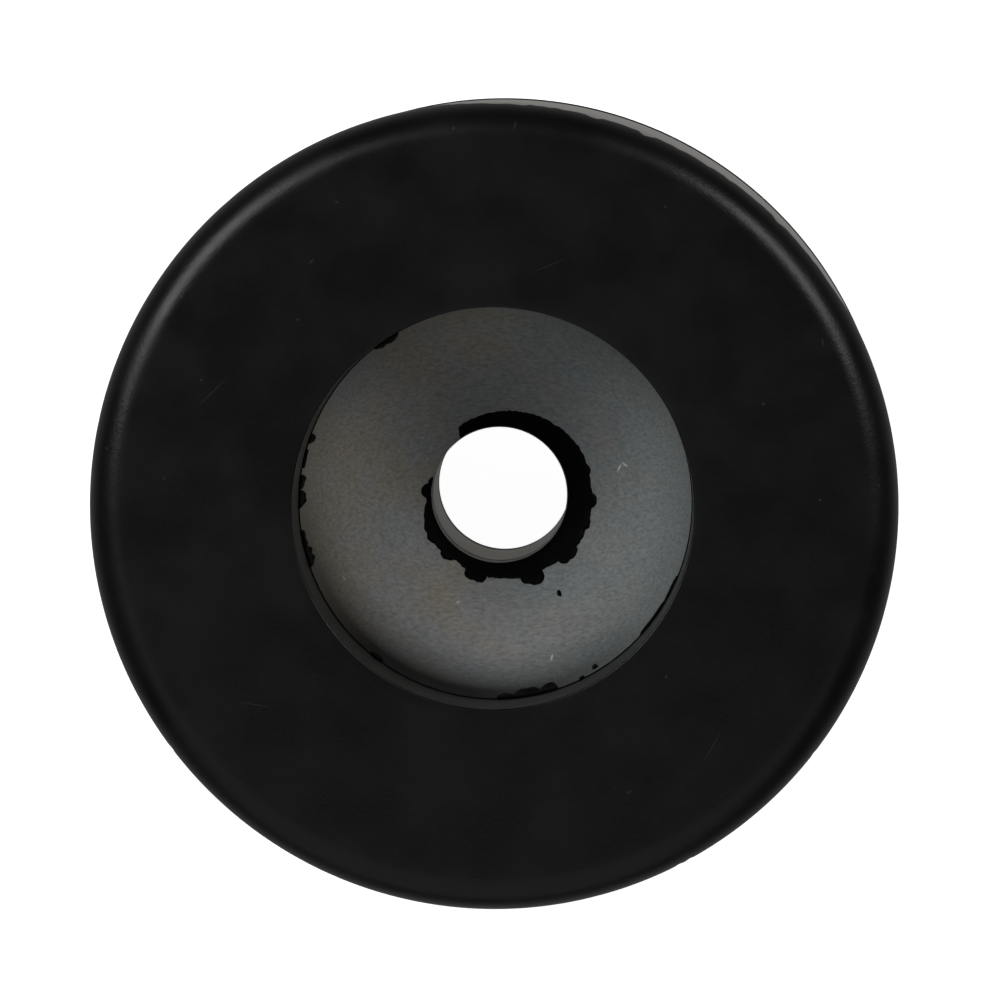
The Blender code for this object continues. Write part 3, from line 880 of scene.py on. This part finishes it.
@dataclass
class Base:
    """The moulded base cap, its screws and the rubber pad."""

    levels: Levels
    flange: float = 2.8 * MM
    fit: float = 0.3 * MM
    side_wall: float = 2.0 * MM
    bore: float = 6.0 * MM
    seat: float = 1.6 * MM
    groove: float = 1.0 * MM
    pad_width: float = 6.7 * MM
    edge: float = 0.5 * MM
    overhang: float = 0.1 * MM
    screws: tuple[str, ...] = tuple(f"cover_screw_{number}" for number in (1, 2, 3, 4))
    shank: float = 2.0 * MM
    socket: float = 1.25 * MM
    socket_depth: float = 1.3 * MM
    pitch: float = 0.7 * MM
    thread: float = 0.3 * MM

    def build(self, wardrobe: Wardrobe) -> None:
        """Make the cap with its holes, the screws and the pad."""
        piece(self.cap(), wardrobe.get(Paint.NYLON), "black_nylon", "base_cap")
        piece(self.pad(), wardrobe.get(Paint.RUBBER), "black_rubber", "anti_slip_pad")
        for node in self.screws:
            piece(self.screw(node), wardrobe.get(Paint.OXIDE), "blackened_steel", node)

    def cap(self) -> Item:
        """Turn the cap's section with soft moulded edges, then cut the screw holes.

        Returns:
            The cap.
        """
        at = self.levels
        groove_in = at.pad_radius - self.pad_width - self.fit
        groove_out = at.pad_radius + self.fit
        groove_top = at.base_low + self.groove
        spigot = at.shell_radius - self.side_wall - self.fit
        flange_top = at.base_low + self.flange
        rim = at.shell_radius + self.overhang
        core = at.sleeve_radius + self.fit
        seat = at.base_low + self.seat
        corners = np.array([
            (self.bore, at.base_low), (groove_in, at.base_low), (groove_in, groove_top),
            (groove_out, groove_top), (groove_out, at.base_low), (rim, at.base_low),
            (rim, flange_top), (spigot, flange_top), (spigot, at.base_top),
            (core, at.base_top), (core, seat), (self.bore, seat)])
        fine, soft = 0.12 * MM, 0.2 * MM
        radii = [fine, soft, soft, soft, soft, self.edge, soft, fine, self.edge, fine, fine, fine]
        outline = refined(rounded(corners, radii, 5), 1.2 * MM)
        cap = surface("base_cap_moulding", revolved(outline, 288), True, True)
        for node in self.screws:
            self.drill(cap, node)
        return cap

    def drill(self, cap: Item, node: str) -> None:
        """Cut one countersunk hole through the cap: the screw's outline, a fit wider.

        Args:
            cap: the cap.
            node: the frame's screw that goes in the hole.
        """
        low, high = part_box(node)
        head = (high[0] - low[0]) / 2 + self.fit
        shank = self.shank + self.fit
        below, above = self.levels.base_low - MM, self.levels.base_top + MM
        outline = np.array([(0.0, below), (head, below), (head, low[2]), (shank, low[2] + head - shank),
                            (shank, above), (0.0, above)])
        grid = revolved(outline, 64)
        grid[..., :2] += np.array([(low[0] + high[0]) / 2, (low[1] + high[1]) / 2])
        cutter = surface("drill", grid, True, False)
        step = cap.modifiers.new("hole", "BOOLEAN")
        step.operation, step.solver, step.object = "DIFFERENCE", "EXACT", cutter
        bpy.context.view_layer.objects.active = cap
        bpy.ops.object.modifier_apply(modifier=step.name)
        bpy.data.objects.remove(cutter)
        cap.data.shade_smooth()
        cap.data.set_sharp_from_angle(angle=radians(40.0))

    def screw(self, node: str) -> Item:
        """Make one countersunk screw with a hexagon socket and a rolled thread.

        Each section is a circle, except the socket's, whose radius at an angle is the hexagon's
        half width over the cosine of the angle to the nearest flat's middle.

        Args:
            node: the frame's screw.

        Returns:
            The screw.
        """
        low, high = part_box(node)
        head, face, tip = (high[0] - low[0]) / 2, low[2], high[2]
        turn = circle(72)[:, None]
        flat = (turn + pi / 6) % (pi / 3) - pi / 6
        hexagon, ring = self.socket / np.cos(flat), 1.0 + 0 * turn
        floor, neck = face + self.socket_depth, face + head - self.shank
        levels = np.arange(neck + 0.3 * MM, tip - self.pitch, self.pitch)
        rows = [(0 * turn, floor + 0.3 * MM), (hexagon * 0.97, floor), (hexagon, floor - 0.05 * MM),
                (hexagon, face + 0.12 * MM), (hexagon * 1.06, face + 0.03 * MM), (hexagon * 1.12, face),
                (ring * (head - 0.25 * MM), face), (ring * (head - 0.05 * MM), face + 0.04 * MM),
                (ring * head, face + 0.15 * MM), (ring * self.shank, neck)]
        for level in levels:
            rows += [(ring * self.shank, level), (ring * (self.shank - self.thread), level + self.pitch / 2)]
        rows += [(ring * (self.shank - self.thread), tip), (0 * turn, tip)]
        r = np.concatenate([row for row, _ in rows], 1)
        z = np.array([level for _, level in rows])[None, :] + 0 * turn
        middle = (low[0] + high[0]) / 2, (low[1] + high[1]) / 2
        grid = np.stack([middle[0] + r * np.cos(turn), middle[1] + r * np.sin(turn), z], 2)
        return surface(node + "_fine", grid, True, False)

    def pad(self) -> Item:
        """Turn the pad: a rubber ring with soft edges and five low grip ribs underneath.

        Returns:
            The pad.
        """
        at = self.levels
        inner, soft, ribs = at.pad_radius - self.pad_width, 0.35 * MM, 5
        across = np.linspace(inner + 0.5 * MM, at.pad_radius - 0.5 * MM, 101)
        wave = np.cos((across - across[0]) / (across[-1] - across[0]) * 2 * pi * ribs)
        foot = np.stack([across, 0.12 * MM * (1.0 - np.clip(wave * 1.6, -1.0, 1.0))], 1)
        turn = np.linspace(0.0, pi / 2, 6)[1:]
        right = np.stack([at.pad_radius - soft + soft * np.sin(turn), soft - soft * np.cos(turn)], 1)
        upper = np.array([[at.pad_radius, at.pad_top - 0.1 * MM], [at.pad_radius - 0.1 * MM, at.pad_top],
                          [inner + 0.1 * MM, at.pad_top], [inner, at.pad_top - 0.1 * MM]])
        left = np.stack([inner + soft - soft * np.sin(turn), soft - soft * np.cos(turn)], 1)[::-1]
        outline = refined(np.concatenate([foot, right, upper, left]), 1.0 * MM)
        return surface("rubber_foot_ring", revolved(outline, 288), True, True)


@dataclass
class Core:
    """The magnets, plates and fillings inside, which keep the frame's own shapes."""

    paints: tuple[tuple[str, Paint], ...] = (
        ("cup_potting", Paint.RESIN), ("inner_ring_magnet", Paint.NICKEL),
        ("magnet_spacer_ring", Paint.SHELL), ("lower_ring_magnet", Paint.NICKEL),
        ("radial_magnet", Paint.NICKEL), ("top_cushion_ring", Paint.FOAM), ("back_iron_plate", Paint.IRON))

    def dress(self, wardrobe: Wardrobe) -> None:
        """Give each inner node its finish, in every slot that it has."""
        for name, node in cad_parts.items():
            for start, paint in self.paints:
                if name.startswith(start):
                    if not node.material_slots:
                        node.data.materials.append(wardrobe.get(paint))
                    for holder in node.material_slots:
                        holder.material = wardrobe.get(paint)
                    log.info("%s: dressed", name)


@dataclass
class Studio:
    """A pale floor, soft lamps, a weak sky and the camera."""

    levels: Levels
    distance: float = 625.9 * MM
    tilt: float = 4.03
    azimuth: float = 64.3
    aim: tuple[float, float] = (0.64 * MM, 0.76 * MM)
    sensor: float = 36.0
    lens: float = 261.4
    sky: tuple[tuple[float, str], ...] = (
        (0.0, "#8e8e8e"), (0.25, "#7e7e7e"), (0.5, "#3e3e3e"), (1.0, "#2c2c2c"))
    lamp_distance: float = 0.75
    lamps: tuple[tuple[str, float, float, float, float], ...] = (
        ("lamp_left", 145.0, 46.0, 0.34, 1.48), ("lamp_right", 37.0, 46.0, 0.25, 0.95),
        ("lamp_front", 262.0, 46.0, 1.10, 0.92))

    def build(self) -> None:
        """Make the floor, the lamps, the sky and the camera."""
        self.floor()
        for lamp in self.lamps:
            self.lamp(*lamp)
        world = bpy.data.worlds.new("studio_sky")
        world.use_nodes = True
        tree = world.node_tree
        way = add(tree, "TexCoord")
        apart = add(tree, "SeparateXYZ", {0: way.outputs["Generated"]})
        height = add(tree, "MapRange", {"Value": apart.outputs[2], "From Min": -1.0})
        shade = add(tree, "ValToRGB", {"Fac": height.outputs["Result"]}, stops=self.sky)
        tree.links.new(shade.outputs["Color"], tree.nodes["Background"].inputs["Color"])
        bpy.context.scene.world = world
        bpy.context.scene.view_settings.view_transform = "Standard"
        self.camera()

    def floor(self) -> None:
        """Lay a pale floor that curves up into a backdrop, faintly glowing like a light table.

        Its outline runs flat to a radius, then round a quarter circle, then straight up. Only the
        camera sees it: the light that a pale floor would send back is in the sky's lower half.
        """
        flat, bend, wall = 1.6, 1.2, 2.0
        turn = np.linspace(0.0, pi / 2, 13)
        outline = np.stack([np.append(0.0, flat + bend * np.sin(turn)),
                            np.append(0.0, bend - bend * np.cos(turn))], 1)
        outline = np.concatenate([outline, [[flat + bend, bend + wall]]])
        made = surface("floor_and_backdrop", revolved(outline, 64), True, False)
        paint = bpy.data.materials.new("opal_acrylic")
        paint.use_nodes = True
        shader = paint.node_tree.nodes["Principled BSDF"]
        shader.inputs["Base Color"].default_value = linear("#f2f2f2")
        shader.inputs["Roughness"].default_value = 0.9
        shader.inputs["Emission Color"].default_value = linear("#ffffff")
        shader.inputs["Emission Strength"].default_value = 0.97
        made.data.materials.append(paint)
        made.visible_glossy = made.visible_diffuse = made.visible_shadow = False

    def lamp(self, name: str, azimuth: float, lean: float, size: float, power: float) -> None:
        """Hang a square soft lamp that faces the object.

        Args:
            name: the lamp's name.
            azimuth: its direction from the object, in degrees from +X.
            lean: its angle from the vertical, in degrees.
            size: its side, in metres.
            power: its power, in watts.
        """
        data = bpy.data.lights.new(name, "AREA")
        data.shape, data.size, data.energy = "SQUARE", size, power
        made = bpy.data.objects.new(name, data)
        made.location = towards(azimuth, lean) * self.lamp_distance + np.array([0.0, 0.0, self.levels.top])
        made.rotation_euler = (radians(lean), 0.0, radians(azimuth) + pi / 2)
        bpy.context.scene.collection.objects.link(made)

    def camera(self) -> None:
        """Hang the camera over the object, a few degrees to one side, with +Y up in its picture."""
        data = bpy.data.cameras.new("camera")
        data.sensor_width, data.lens = self.sensor, self.lens
        data.clip_start, data.clip_end = 0.01, 50.0
        made = bpy.data.objects.new("camera", data)
        top = np.array([0.0, 0.0, self.levels.top])
        place = top + towards(self.azimuth, self.tilt) * self.distance
        away = place - top - np.array([*self.aim, 0.0])
        away /= np.linalg.norm(away)
        right = np.cross([0.0, 1.0, 0.0], away)
        right /= np.linalg.norm(right)
        pose = np.eye(4)
        pose[:3] = np.stack([right, np.cross(away, right), away, place], 1)
        made.matrix_world = Matrix(pose.tolist())
        bpy.context.scene.collection.objects.link(made)
        bpy.context.scene.camera = made


def main() -> None:
    """Build every sub-assembly, then the studio."""
    logging.basicConfig(level=logging.INFO, format="%(message)s")
    levels = Levels.read()
    wardrobe = Wardrobe()
    Housing(levels).build(wardrobe)
    Bowl(levels).build(wardrobe)
    Base(levels).build(wardrobe)
    Core().dress(wardrobe)
    Studio(levels).build()


if __name__ == "__main__":
    main()
